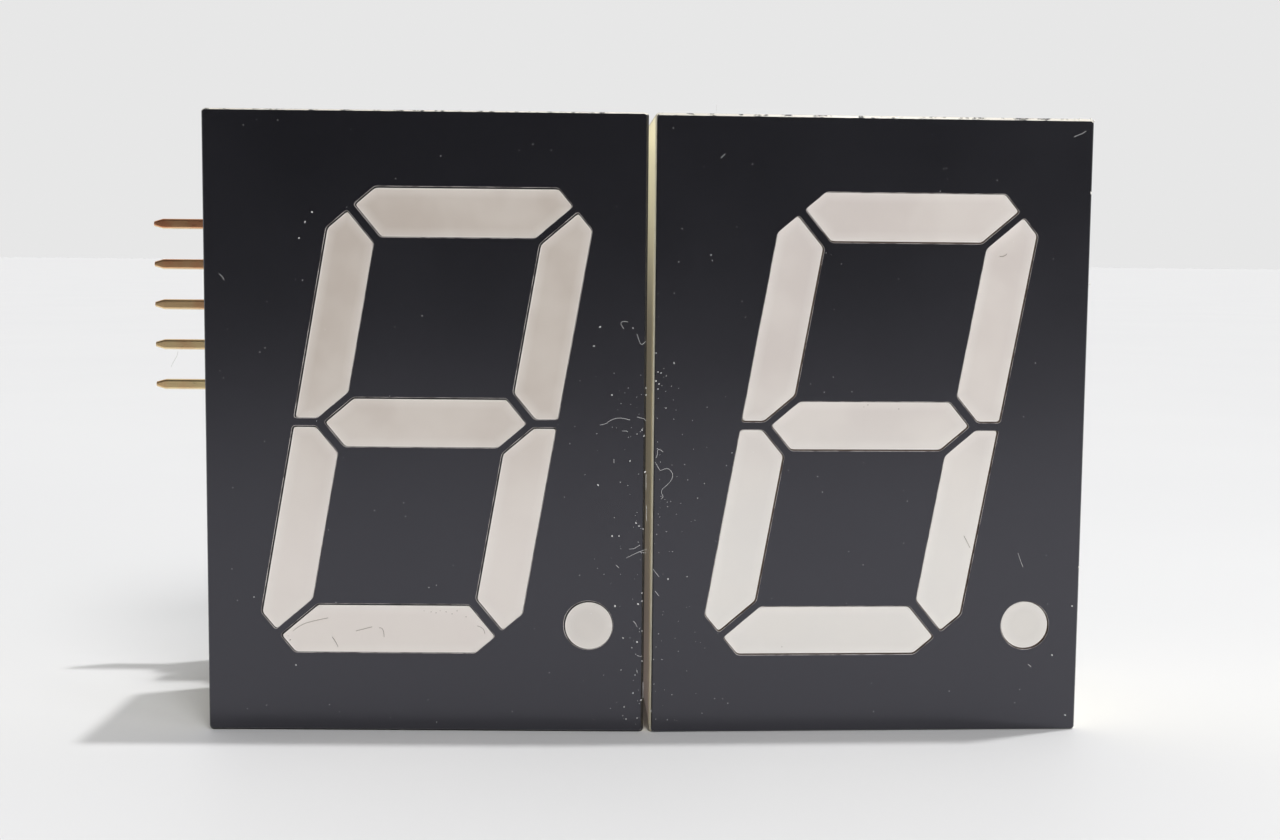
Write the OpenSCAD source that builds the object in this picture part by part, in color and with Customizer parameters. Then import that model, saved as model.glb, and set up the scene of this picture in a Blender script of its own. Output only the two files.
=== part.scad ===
// Two-digit seven segment display module: two moulded single-digit displays soldered to one carrier board.
// Sizes are in millimetres. The digits face -Y, +X is the reader's right and +Z is up.

/* [Display] */
// Width of one display's face
face_w = 24; // [22:0.5:28]
// Height of one display's face
face_h = 34; // [33:0.5:40]
// Depth of one display, from its face to its back rim
display_depth = 10.5; // [9.5:0.1:13]
// Draft of the housing's two side walls, in degrees
side_draft = 1; // [0.6:0.1:1.5]
// Wall around the chip board, measured at the face
wall = 1.3; // [0.8:0.1:1.6]
// Thickness of the black film on the face
film_t = 0.12; // [0.08:0.02:0.3]
// Bare edge of the housing left around the film
film_inset = 0.05; // [0.04:0.01:0.2]
// Sideways error of each film: the left one lies to the left, the right one to the right
film_shift_x = 0.03; // [0:0.01:0.04]
// Height error of each film: the left one lies high, the right one low
film_shift_z = 0.03; // [0:0.01:0.04]
// Bare rim between the edge of a window in the film and the resin in it
window_margin = 0.06; // [0.04:0.01:0.12]

/* [Digit] */
// Height of the digit
digit_h = 25.4; // [23:0.2:26.4]
// Width of the digit before it is slanted
digit_w = 14.25; // [12:0.25:15]
// Height of the digit's middle above the middle of the face
digit_rise = 0.13; // [-0.5:0.01:0.5]
// Width of a segment
stroke = 2.6; // [1.8:0.1:3]
// Gap between neighbouring segments
segment_gap = 0.55; // [0.4:0.05:0.9]
// Cut across each outer corner of the digit
corner_cut = 2.2; // [1.4:0.1:2.6]
// Slant of the digit, in degrees
slant = 10; // [0:0.5:12]
// Diameter of the decimal point
dot_d = 2.6; // [2:0.1:3]
// Decimal point's distance from the right edge of the face
dot_edge = 3.05; // [2.5:0.05:3.5]
// Height of the decimal point's middle above the foot of the digit
dot_rise = 1.55; // [1.4:0.05:2.5]

/* [Light cells] */
// Depth of the light cells behind the face
cell_depth = 6.4; // [5:0.1:7]
// Size of a cell at the chip board as a share of its size at the face
cell_taper = 0.8; // [0.6:0.05:0.95]
// Resin surface below the front of the film
lens_recess = 0.03; // [0.01:0.01:0.15]

/* [Chip board] */
// Thickness of the chip board
chip_board_t = 1; // [0.6:0.1:1.2]
// Clearance around the chip board in its pocket
chip_board_fit = 0.1; // [0.05:0.01:0.2]
// Side of an LED chip
led_side = 0.3; // [0.2:0.02:0.5]
// Thickness of an LED chip
led_t = 0.2; // [0.1:0.02:0.3]
// Distance of a segment's two LED chips from its middle
led_spread = 1.9; // [1:0.1:2.5]
// Back resin below the back rim of the housing
resin_recess = 0.3; // [0.1:0.05:0.6]

/* [Display pins] */
// Pins in each row
pins_per_row = 5; // [3:1:7]
// Distance between neighbouring pins
pin_pitch = 2.54; // [2:0.02:2.6]
// Distance of each row from the nearest end of the face
pin_row_inset = 3.03; // [2.5:0.01:4]
// Side of a square pin
pin_side = 0.5; // [0.4:0.02:0.6]
// Pin length past the back of the carrier board
pin_tail = 1.1; // [0.9:0.1:2]

/* [Module] */
// Gap between the two faces
face_gap = 0.36; // [0.3:0.01:1]
// Turn of the right display on its pins, in degrees
right_turn = 2.9; // [0:0.1:3.2]
// Gap between the back of the left display and the board
standoff = 3.2; // [2.5:0.1:5]

/* [Carrier board] */
// Thickness of the carrier board
board_t = 1.6; // [0.8:0.1:2]
// Side edges of the board inside the outline of the faces
board_side_inset = 0.4; // [0.2:0.1:1]
// Upper and lower edge of the board inside the outline of the faces
board_end_inset = 0.5; // [0.2:0.1:1]
// Diameter of the soldered holes
pin_hole_d = 1; // [0.96:0.02:1.2]
// Plating on the wall of a hole
hole_plating = 0.03; // [0.02:0.005:0.04]
// Diameter of a solder joint at the board
solder_base_d = 1.8; // [1.4:0.1:2]
// Diameter of a solder joint at its tip
solder_tip_d = 0.8; // [0.6:0.1:1]
// Height of a solder joint
solder_h = 0.8; // [0.5:0.1:0.9]

/* [Header] */
// Number of header pins
header_pins = 5; // [3:1:6]
// Distance between neighbouring header pins
header_pitch = 2.54; // [2:0.02:2.6]
// Height of the middle of the pin row above the middle of the board
header_rise = 6; // [-6:0.1:7]
// Side of a square header pin
header_pin_side = 0.64; // [0.5:0.02:0.66]
// Free length of a pin past the strip
header_free = 6; // [4:0.5:9]
// Strip past the left edge of the board
header_overhang = 1.4; // [0:0.1:2]
// Width of the strip along the pins
header_strip_w = 2.5; // [2:0.1:3]
// Height of the strip above the board
header_strip_t = 2.54; // [2:0.02:3]
// Bevel between neighbouring positions of the strip
header_notch = 0.4; // [0.2:0.05:0.6]
// Distance from the strip to the middle of the soldered leg
header_leg = 1.5; // [1.2:0.1:2]
// Radius of the bend along the middle of the pin
header_bend_r = 0.6; // [0.4:0.05:0.8]
// Leg past the front of the board
header_tail = 1.2; // [0.9:0.1:1.5]
// Length of the tapered tip
header_tip_l = 0.6; // [0.3:0.1:1]
// Width of the tip's end as a share of the pin
header_tip_share = 0.5; // [0.3:0.05:0.8]

/* [Drivers] */
// Length of a driver's body
driver_l = 9.9; // [9.6:0.1:11]
// Width of a driver's body
driver_w = 3.9; // [3.5:0.1:4]
// Thickness of a driver's body
driver_t = 1.45; // [1.2:0.05:1.8]
// Gap under a driver's body
driver_lift = 0.15; // [0.05:0.05:0.3]
// Draft of a driver's body at its top and bottom
driver_draft = 0.12; // [0.05:0.01:0.2]
// Diameter of the dimple beside the first lead
dimple_d = 0.8; // [0.5:0.1:1]
// Depth of the dimple
dimple_depth = 0.1; // [0.05:0.05:0.2]
// Dimple's distance from the two nearest edges of the body
dimple_edge = 0.85; // [0.7:0.05:1.2]
// Leads on each side of a driver
leads_per_side = 8; // [4:1:8]
// Distance between neighbouring leads
lead_pitch = 1.27; // [1:0.01:1.27]
// Width of a lead
lead_w = 0.42; // [0.3:0.02:0.5]
// Thickness of a lead
lead_t = 0.2; // [0.1:0.02:0.25]
// Distance between the ends of opposite leads
lead_span = 6; // [5.8:0.1:7]
// Flat foot of a lead
lead_foot = 0.6; // [0.4:0.05:0.7]
// Lean of a lead between its foot and the body
lead_lean = 0.1; // [0:0.02:0.14]

/* [Resistors and capacitors] */
// Distance between neighbouring resistors
resistor_pitch = 2.54; // [2:0.02:2.6]
// Distance of each resistor row from the middle of the drivers
resistor_row = 7.4; // [5:0.1:9]
// Length of a resistor
resistor_l = 2; // [1.6:0.1:2.4]
// Width of a resistor
resistor_w = 1.25; // [0.8:0.05:1.4]
// Thickness of a resistor's ceramic
resistor_t = 0.5; // [0.3:0.05:0.8]
// Distance of each capacitor from the middle of its driver
capacitor_offset = 7.4; // [6.5:0.1:9]
// Length of a capacitor
capacitor_l = 2; // [1.6:0.1:2.4]
// Width of a capacitor
capacitor_w = 1.25; // [0.8:0.05:1.4]
// Thickness of a capacitor's ceramic
capacitor_t = 0.9; // [0.5:0.05:1.2]
// Length of the metal end on a resistor or capacitor
end_l = 0.4; // [0.2:0.05:0.5]
// Metal of an end above and below the ceramic
end_wrap = 0.03; // [0.02:0.01:0.06]

/* [Hidden] */
$fn = 48;

// How far a cut runs past the face it starts from
past = 0.2;

// A side is the left edge of a display's face, the display's turn and the way its film lies off centre
LEFT = [-face_gap / 2 - face_w, 0, -1];
RIGHT = [face_gap / 2, right_turn, 1];
SEGMENTS = ["a", "b", "c", "d", "e", "f", "g"];

// Depths in one display, measured back from its face
cell_back = film_t + cell_depth;
chip_board_back = cell_back + chip_board_t;
draft_inset = (display_depth - film_t) * tan(side_draft);
pocket_w = face_w - 2 * wall;
pocket_h = face_h - 2 * wall;
digit_z = face_h / 2 + digit_rise;
dot_x = face_w / 2 - dot_edge;
dot_z = digit_z - digit_h / 2 + dot_rise;

// Depths and edges of the module, before its origin is moved to the middle of its foot
board_front = display_depth + standoff;
board_back = board_front + board_t;
board_left = LEFT[0] + board_side_inset;
faces_right = RIGHT[0] + face_w * cos(right_turn) - film_t * sin(right_turn);
board_right = faces_right - board_side_inset;
strip_left = board_left - header_overhang;
strip_right = strip_left + header_strip_w;
leg_x = strip_right + header_leg;
pin_axis_y = board_back + header_strip_t / 2;
pin_tip_x = strip_left - header_free;
origin = [(pin_tip_x + faces_right) / 2, (board_back + header_strip_t) / 2, 0];

// Rows of evenly spaced places about zero
function spread(count, pitch) = [for (i = [0:count - 1]) (i - (count - 1) / 2) * pitch];
pin_columns = spread(pins_per_row, pin_pitch);
pin_rows = [pin_row_inset, face_h - pin_row_inset];
header_rows = [for (z = spread(header_pins, header_pitch)) face_h / 2 + header_rise + z];
resistor_columns = spread(4, resistor_pitch);

function side_middle(side) = side[0] + face_w / 2;
resistor_places = [
  for (side = [LEFT, RIGHT])
    for (row = [-1, 1])
      for (x = resistor_columns) [side_middle(side) + x, face_h / 2 + row * resistor_row]
];
capacitor_places = [for (side = [LEFT, RIGHT]) [side_middle(side) + capacitor_offset, face_h / 2]];

// Outlines of the segments

// The upper bar, an upper side and the middle bar, upright about the middle of the digit and grown by m.
// Neighbours are parted by mitres at 45 degrees, and one cut runs across each outer corner.
function upper_bar(m) =
  let (
    w = digit_w / 2 + m,
    h = digit_h / 2 + m,
    t = stroke + 2 * m,
    cut = corner_cut + (2 - sqrt(2)) * m,
    mitre = (segment_gap - 2 * m) * sqrt(2) / 2
  )
  [
    [cut - w, h],
    [w - cut, h],
    [w - (cut + mitre) / 2, h - (cut - mitre) / 2],
    [w - t - mitre, h - t],
    [mitre + t - w, h - t],
    [(cut + mitre) / 2 - w, h - (cut - mitre) / 2]
  ];

function upper_side(m) =
  let (
    w = digit_w / 2 + m,
    h = digit_h / 2 + m,
    t = stroke + 2 * m,
    cut = corner_cut + (2 - sqrt(2)) * m,
    half_gap = segment_gap / 2 - m,
    mitre = half_gap * sqrt(2)
  )
  [
    [w - (cut - mitre) / 2, h - (cut + mitre) / 2],
    [w, h - cut],
    [w, half_gap],
    [w - t / 2 + mitre - half_gap, half_gap],
    [w - t, t / 2 + mitre],
    [w - t, h - t - mitre]
  ];

function middle_bar(m) =
  let (
    w = digit_w / 2 + m,
    t = stroke + 2 * m,
    mitre = (segment_gap - 2 * m) * sqrt(2) / 2
  )
  [
    [t / 2 + mitre - w, 0],
    [t + mitre - w, t / 2],
    [w - t - mitre, t / 2],
    [w - t / 2 - mitre, 0],
    [w - t - mitre, -t / 2],
    [t + mitre - w, -t / 2]
  ];

function slanted(p) = [p.x + p.y * tan(slant), p.y];

// Each segment is one of the three outlines, mirrored across the digit or top to bottom, then slanted
function upright(s, m) =
  s == "g" ? middle_bar(m) :
  s == "a" || s == "d" ? upper_bar(m) :
  upper_side(m);
function flip_x(s) = s == "e" || s == "f" ? -1 : 1;
function flip_z(s) = s == "c" || s == "d" || s == "e" ? -1 : 1;
function outline(s, m) = [for (p = upright(s, m)) slanted([flip_x(s) * p.x, flip_z(s) * p.y]) + [0, digit_z]];
function centre(s) = [1, 1, 1, 1, 1, 1] * outline(s, 0) / 6;

// A segment's long direction, and the places of its two LED chips
function along(s) = s == "a" || s == "d" || s == "g" ? [1, 0] : [sin(slant), cos(slant)];
led_places = concat(
  [for (s = SEGMENTS) for (way = [-1, 1]) centre(s) + way * led_spread * along(s)],
  [[dot_x, dot_z]]
);

// Placing

module in_module() {
  translate(-origin) children();
}

// Puts a display, drawn with its face centred on X and its lower edge at zero, in its place
module on_side(side) {
  in_module()
    translate([side[0], 0, 0])
      rotate([0, 0, side[1]])
        translate([face_w / 2, 0, 0]) children();
}

// A flat shape drawn in X and Z, made solid between two depths
module between(front, back) {
  translate([0, back, 0])
    rotate([90, 0, 0])
      linear_extrude(back - front) children();
}

module block(low, high) {
  translate(low) cube(high - low);
}

// A pin's place along X where it crosses a given depth of the module, and its end in its display's own depth
function pin_reach(side, column, y) = (y - (column + face_w / 2) * sin(side[1])) / cos(side[1]);
function pin_x(side, column, y) =
  side[0] + (column + face_w / 2) * cos(side[1]) - pin_reach(side, column, y) * sin(side[1]);

// One display

// A cell tapers evenly from its full size at the front of the housing to its share of it at the chip board
function cell_share(y) = 1 - (1 - cell_taper) * (y - film_t) / cell_depth;

module segment_cell(s, front, back) {
  at = centre(s);
  translate([at.x, back, at.y])
    rotate([90, 0, 0])
      linear_extrude(back - front, scale = cell_share(front) / cell_share(back))
        polygon([for (p = outline(s, 0)) (p - at) * cell_share(back)]);
}

module dot_cell(front, back) {
  translate([dot_x, back, dot_z])
    rotate([90, 0, 0])
      cylinder(h = back - front, d1 = dot_d * cell_share(back), d2 = dot_d * cell_share(front));
}

module led_blocks() {
  for (p = led_places)
    translate([p.x, cell_back - led_t / 2, p.y])
      cube([led_side, led_t, led_side], center = true);
}

module pin_bars(side) {
  for (x = pin_columns)
    for (z = pin_rows)
      block(
        [x - pin_side / 2, cell_back, z - pin_side / 2],
        [x + pin_side / 2, pin_reach(side, x, board_back + pin_tail), z + pin_side / 2]
      );
}

module pocket(front, back, clearance) {
  block(
    [clearance - pocket_w / 2, front, wall + clearance],
    [pocket_w / 2 - clearance, back, wall + pocket_h - clearance]
  );
}

module housing() {
  color("ivory")
    difference() {
      linear_extrude(face_h)
        polygon([
          [-face_w / 2, film_t],
          [face_w / 2, film_t],
          [face_w / 2 - draft_inset, display_depth],
          [draft_inset - face_w / 2, display_depth]
        ]);
      for (s = SEGMENTS) segment_cell(s, film_t - past, cell_back + past);
      dot_cell(film_t - past, cell_back + past);
      pocket(cell_back, display_depth + past, 0);
    }
}

module face_film(side) {
  color([0.16, 0.16, 0.17])
    translate([side[2] * film_shift_x, 0, -side[2] * film_shift_z])
      difference() {
        block([film_inset - face_w / 2, 0, film_inset], [face_w / 2 - film_inset, film_t, face_h - film_inset]);
        for (s = SEGMENTS) between(-past, film_t + past) polygon(outline(s, window_margin));
        translate([dot_x, 0, dot_z]) between(-past, film_t + past) circle(d = dot_d + 2 * window_margin);
      }
}

module segment(s) {
  color([0.86, 0.82, 0.78])
    difference() {
      segment_cell(s, lens_recess, cell_back);
      led_blocks();
    }
}

module decimal_point() {
  color([0.86, 0.82, 0.78])
    difference() {
      dot_cell(lens_recess, cell_back);
      led_blocks();
    }
}

module chip_board(side) {
  color([0.72, 0.66, 0.42])
    difference() {
      pocket(cell_back, chip_board_back, chip_board_fit);
      pin_bars(side);
    }
}

module led_chips() {
  color("gold") led_blocks();
}

module pins(side) {
  color("silver") pin_bars(side);
}

module back_resin(side) {
  color([0.82, 0.8, 0.7])
    difference() {
      pocket(chip_board_back, display_depth - resin_recess, 0);
      pin_bars(side);
    }
}

// Carrier board and header

// Solder that fills a hole and rises to a cone on one face of the board
module solder_joint(way) {
  barrel_d = pin_hole_d - 2 * hole_plating;
  between(board_front, board_back) circle(d = barrel_d);
  translate([0, way > 0 ? board_back : board_front, 0])
    rotate([-90 * way, 0, 0])
      cylinder(h = solder_h, d1 = solder_base_d, d2 = solder_tip_d);
}

module pin_solder(side) {
  color("lightgray")
    difference() {
      in_module()
        for (x = pin_columns)
          for (z = pin_rows)
            translate([pin_x(side, x, (board_front + board_back) / 2), 0, z]) solder_joint(1);
      on_side(side) pin_bars(side);
    }
}

module header_solder() {
  color("lightgray")
    difference() {
      for (z = header_rows) translate([leg_x, 0, z]) solder_joint(-1);
      for (z = header_rows) translate([0, 0, z]) header_bar();
    }
}

module carrier_board() {
  color("darkgreen")
    difference() {
      block(
        [board_left, board_front, board_end_inset],
        [board_right, board_back, face_h - board_end_inset]
      );
      for (side = [LEFT, RIGHT])
        for (x = pin_columns)
          for (z = pin_rows)
            translate([pin_x(side, x, (board_front + board_back) / 2), 0, z])
              between(board_front - past, board_back + past) circle(d = pin_hole_d);
      for (z = header_rows)
        translate([leg_x, 0, z]) between(board_front - past, board_back + past) circle(d = pin_hole_d);
    }
}

module header_strip() {
  half = header_pitch / 2;
  color([0.1, 0.1, 0.1])
    difference() {
      for (z = header_rows)
        translate([strip_left, board_back, z])
          rotate([90, 0, 90])
            linear_extrude(header_strip_w)
              polygon([
                [0, header_notch - half],
                [header_notch, -half],
                [header_strip_t - header_notch, -half],
                [header_strip_t, header_notch - half],
                [header_strip_t, half - header_notch],
                [header_strip_t - header_notch, half],
                [header_notch, half],
                [0, half - header_notch]
              ]);
      for (z = header_rows) translate([0, 0, z]) header_bar();
    }
}

// One header pin at height zero: tapered tip, free end, bend and soldered leg
module header_bar() {
  half = header_pin_side / 2;
  bend_x = leg_x - header_bend_r;
  bend_y = pin_axis_y - header_bend_r;
  translate([pin_tip_x + header_tip_l, pin_axis_y, 0])
    rotate([0, -90, 0])
      linear_extrude(header_tip_l, scale = header_tip_share) square(header_pin_side, center = true);
  block([pin_tip_x + header_tip_l, pin_axis_y - half, -half], [bend_x, pin_axis_y + half, half]);
  translate([bend_x, bend_y, 0])
    rotate_extrude(angle = 90) translate([header_bend_r, 0]) square(header_pin_side, center = true);
  block([leg_x - half, board_front - header_tail, -half], [leg_x + half, bend_y, half]);
}

module header_pin(row) {
  color("goldenrod") translate([0, 0, header_rows[row]]) header_bar();
}

// Drivers, resistors and capacitors on the back of the board

module at_driver(side) {
  in_module() translate([side_middle(side), board_back, face_h / 2]) children();
}

// The body is widest in a band where the leads leave it, and drafted above and below that band
function driver_section(width) =
  let (
    low = driver_lift,
    high = driver_lift + driver_t,
    band_low = driver_lift + (driver_t - lead_t) / 2,
    band_high = band_low + lead_t
  )
  [
    [driver_draft - width / 2, low],
    [width / 2 - driver_draft, low],
    [width / 2, band_low],
    [width / 2, band_high],
    [width / 2 - driver_draft, high],
    [driver_draft - width / 2, high],
    [-width / 2, band_high],
    [-width / 2, band_low]
  ];

module driver_body(side) {
  color([0.14, 0.14, 0.15])
    at_driver(side)
      difference() {
        intersection() {
          translate([0, 0, -driver_w / 2]) linear_extrude(driver_w) polygon(driver_section(driver_l));
          translate([-driver_l / 2, 0, 0])
            rotate([90, 0, 90])
              linear_extrude(driver_l) polygon([for (p = driver_section(driver_w)) [p.y, p.x]]);
        }
        translate([dimple_edge - driver_l / 2, driver_lift + driver_t - dimple_depth, dimple_edge - driver_w / 2])
          rotate([-90, 0, 0]) cylinder(h = dimple_depth + past, d = dimple_d);
      }
}

// A lead's side view: a flat foot on the board, a rise and a short run into the body
module lead_outline() {
  shoulder = driver_lift + (driver_t + lead_t) / 2;
  foot_end = lead_span / 2 - lead_foot;
  polygon([
    [0, lead_span / 2],
    [lead_t, lead_span / 2],
    [lead_t, foot_end],
    [shoulder, foot_end - lead_lean],
    [shoulder, driver_w / 2],
    [shoulder - lead_t, driver_w / 2],
    [shoulder - lead_t, foot_end - lead_lean - lead_t],
    [0, foot_end - lead_t]
  ]);
}

module driver_leads(side) {
  color("silver")
    at_driver(side)
      for (x = spread(leads_per_side, lead_pitch))
        for (way = [0, 1])
          mirror([0, 0, way])
            translate([x - lead_w / 2, 0, 0])
              rotate([90, 0, 90]) linear_extrude(lead_w) lead_outline();
}

// A chip part stands with its length along Z and its two metal ends on the board
module chip_bodies(places, l, w, t) {
  half = l / 2 - end_l;
  in_module()
    for (p = places)
      translate([p.x, board_back, p.y])
        block([-w / 2, end_wrap, -half], [w / 2, end_wrap + t, half]);
}

module chip_ends(places, l, w, t) {
  color("silver")
    in_module()
      for (p = places)
        for (way = [0, 1])
          translate([p.x, board_back, p.y])
            mirror([0, 0, way])
              block([-w / 2, 0, l / 2 - end_l], [w / 2, t + 2 * end_wrap, l / 2]);
}

module resistor_bodies() {
  color([0.15, 0.15, 0.16]) chip_bodies(resistor_places, resistor_l, resistor_w, resistor_t);
}

module resistor_ends() {
  chip_ends(resistor_places, resistor_l, resistor_w, resistor_t);
}

module capacitor_bodies() {
  color([0.72, 0.6, 0.45]) chip_bodies(capacitor_places, capacitor_l, capacitor_w, capacitor_t);
}

module capacitor_ends() {
  chip_ends(capacitor_places, capacitor_l, capacitor_w, capacitor_t);
}

on_side(LEFT) housing();  // left_housing
on_side(LEFT) face_film(LEFT);  // left_face_film
on_side(LEFT) decimal_point();  // left_decimal_point
on_side(LEFT) chip_board(LEFT);  // left_chip_board
on_side(LEFT) led_chips();  // left_led_chips
on_side(LEFT) pins(LEFT);  // left_pins
on_side(LEFT) back_resin(LEFT);  // left_back_resin
pin_solder(LEFT);  // left_pin_solder
driver_body(LEFT);  // left_driver_body
driver_leads(LEFT);  // left_driver_leads
on_side(RIGHT) housing();  // right_housing
on_side(RIGHT) face_film(RIGHT);  // right_face_film
on_side(RIGHT) decimal_point();  // right_decimal_point
on_side(RIGHT) chip_board(RIGHT);  // right_chip_board
on_side(RIGHT) led_chips();  // right_led_chips
on_side(RIGHT) pins(RIGHT);  // right_pins
on_side(RIGHT) back_resin(RIGHT);  // right_back_resin
pin_solder(RIGHT);  // right_pin_solder
driver_body(RIGHT);  // right_driver_body
driver_leads(RIGHT);  // right_driver_leads
for (s = SEGMENTS) on_side(LEFT) segment(s);
for (s = SEGMENTS) on_side(RIGHT) segment(s);
for (i = [1:header_pins]) in_module() header_pin(i - 1);
in_module() carrier_board();
in_module() header_strip();
in_module() header_solder();
resistor_bodies();
resistor_ends();
capacitor_bodies();
capacitor_ends();
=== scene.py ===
# %% [markdown]
# A two-digit seven segment display module: two moulded digits soldered to one carrier board. The CAD
# model gives every piece its true size and place. This lesson gives the pieces their soft edges, their
# finishes and the dust and wear that a used display collects, and never moves a CAD piece.

# %% Load the CAD frame
import random
from math import pi, radians

import bmesh
import bpy
from mathutils import Matrix, Vector
from mathutils.geometry import intersect_line_plane


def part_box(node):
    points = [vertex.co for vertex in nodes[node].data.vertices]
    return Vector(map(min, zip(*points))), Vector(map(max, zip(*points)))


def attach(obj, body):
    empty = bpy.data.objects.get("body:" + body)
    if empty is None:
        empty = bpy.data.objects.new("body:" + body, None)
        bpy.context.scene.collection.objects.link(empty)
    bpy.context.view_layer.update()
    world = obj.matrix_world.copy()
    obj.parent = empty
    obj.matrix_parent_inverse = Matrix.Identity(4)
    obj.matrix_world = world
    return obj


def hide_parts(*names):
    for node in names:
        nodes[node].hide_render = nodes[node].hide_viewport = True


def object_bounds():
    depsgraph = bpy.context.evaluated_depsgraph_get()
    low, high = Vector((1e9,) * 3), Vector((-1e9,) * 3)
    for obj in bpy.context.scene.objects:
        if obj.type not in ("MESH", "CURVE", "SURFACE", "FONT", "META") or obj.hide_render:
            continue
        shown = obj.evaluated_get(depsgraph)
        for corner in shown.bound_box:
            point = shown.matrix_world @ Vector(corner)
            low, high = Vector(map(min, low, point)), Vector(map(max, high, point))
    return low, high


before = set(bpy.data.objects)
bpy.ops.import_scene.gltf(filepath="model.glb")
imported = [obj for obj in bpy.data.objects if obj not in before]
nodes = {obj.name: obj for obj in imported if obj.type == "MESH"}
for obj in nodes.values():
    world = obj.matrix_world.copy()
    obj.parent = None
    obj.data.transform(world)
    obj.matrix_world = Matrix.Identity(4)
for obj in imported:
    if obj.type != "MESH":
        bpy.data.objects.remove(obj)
cad_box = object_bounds()
scene = bpy.context.scene
MM = 0.001
print("CAD nodes:", len(nodes), "box in mm:", [[round(x / MM, 2) for x in corner] for corner in cad_box])

# %% [markdown]
# The camera stands close, a hand's width in front of the digits and a little above their middle. Its
# place was worked out from the corners of the two faces in the photograph, so the render can be laid over
# the photograph. The lens is given as its focal length in pixels of the photograph's 1280 pixel width.

# %% Camera
PHOTO_SIZE = (1280, 840)
FOCAL_PIXELS = 1726
EYE = Vector((1.868, -102.678, 26.171)) * MM
LOOKS_DOWN = radians(5.34)
LOOKS_RIGHT = radians(0.696)
LEANS = radians(0.55)

lens = bpy.data.cameras.new("camera")
lens.sensor_width = 36
lens.lens = lens.sensor_width * FOCAL_PIXELS / PHOTO_SIZE[0]
lens.clip_start = 2 * MM
lens.clip_end = 20
camera = bpy.data.objects.new("camera", lens)
scene.collection.objects.link(camera)
camera.matrix_world = (
    Matrix.Translation(EYE)
    @ Matrix.Rotation(-LOOKS_RIGHT, 4, "Z")
    @ Matrix.Rotation(pi / 2 - LOOKS_DOWN, 4, "X")
    @ Matrix.Rotation(LEANS, 4, "Z")
)
scene.camera = camera
scene.view_settings.view_transform = "Standard"
print("lens", round(lens.lens, 2), "mm")

# %% [markdown]
# Every finish below is a node material. Written node by node they are hard to read, so one small class
# wraps a socket: sums on it become Math nodes, and any other node comes from its node() method. Patterns
# sit on Object coordinates, which are in metres and the same for every piece of the module.

# %% Wires for materials


class Wire:
    """One output of a node tree, which can be used in Python sums."""

    def __init__(self, tree, socket=None):
        self.tree = tree
        self.socket = socket

    def node(self, kind, settings=None, inputs=None, output=0):
        """A new node: its settings are set first, then its sockets, which take values or wires."""
        made = self.tree.nodes.new(kind)
        for name, value in (settings or {}).items():
            setattr(made, name, value)
        for name, value in (inputs or {}).items():
            if isinstance(value, Wire):
                self.tree.links.new(value.socket, made.inputs[name])
            else:
                made.inputs[name].default_value = value
        return Wire(self.tree, made.outputs[output])

    def math(self, operation, a, b):
        """A Math node on two numbers or wires."""
        return self.node("ShaderNodeMath", {"operation": operation}, {0: a, 1: b})

    def __add__(self, other):
        return self.math("ADD", self, other)

    def __radd__(self, other):
        return self.math("ADD", other, self)

    def __sub__(self, other):
        return self.math("SUBTRACT", self, other)

    def __rsub__(self, other):
        return self.math("SUBTRACT", other, self)

    def __mul__(self, other):
        return self.math("MULTIPLY", self, other)

    def __rmul__(self, other):
        return self.math("MULTIPLY", other, self)

    def part(self, axis):
        """One part of a vector, such as its Z."""
        return self.node("ShaderNodeSeparateXYZ", inputs={"Vector": self}, output=axis)

    def stretched(self, x, y, z):
        """These coordinates, multiplied along each axis, so that a pattern on them gets longer or shorter."""
        return self.node("ShaderNodeMapping", inputs={"Vector": self, "Scale": (x, y, z)})

    def noise(self, size, detail=2.0, roughness=0.5):
        """Soft noise whose patches are about this size, in metres."""
        inputs = {"Vector": self, "Scale": 1 / size, "Detail": detail, "Roughness": roughness}
        return self.node("ShaderNodeTexNoise", inputs=inputs)

    def step(self, low, high):
        """0 below low, 1 above high and a soft step between them."""
        settings = {"interpolation_type": "SMOOTHSTEP"}
        return self.node("ShaderNodeMapRange", settings, {"Value": self, "From Min": low, "From Max": high})

    def mix(self, a, b):
        """Colour a where this wire is 0, and b where it is 1."""
        return self.node("ShaderNodeMix", {"data_type": "RGBA"}, {0: self, 6: a, 7: b}, 2)

    def bump(self, depth, strength=1.0):
        """A normal for relief of this depth, in metres, drawn by this wire."""
        inputs = {"Height": self, "Distance": depth, "Strength": strength}
        return self.node("ShaderNodeBump", inputs=inputs)


def paint(red, green, blue):
    """A colour as a screen shows it, 0 to 255, in the linear values that shaders take."""
    shares = [level / 255 for level in (red, green, blue)]
    linear = [c / 12.92 if c <= 0.04045 else ((c + 0.055) / 1.055) ** 2.4 for c in shares]
    return (*linear, 1.0)


def finish(name, make):
    """A material whose shader sockets are given by make(place), where place is the Object coordinates."""
    material = bpy.data.materials.new(name)
    material.use_nodes = True
    tree = material.node_tree
    shader = tree.nodes["Principled BSDF"]
    place = Wire(tree).node("ShaderNodeTexCoord", output="Object")
    for socket, value in make(place).items():
        if isinstance(value, Wire):
            tree.links.new(value.socket, shader.inputs[socket])
        else:
            shader.inputs[socket].default_value = value
    return material


# %% [markdown]
# The module stands on one wide pale table. A table could be modelled with legs and edges, but only its
# top shows, so a single large face is enough. It ends a little way in front of the module, because what
# the black faces mirror matters: the pale table in their lower half, and the room beyond its edge in
# their upper half.

# %% Table
TABLE_FAR = 5.0
TABLE_NEAR = 0.22

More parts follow.
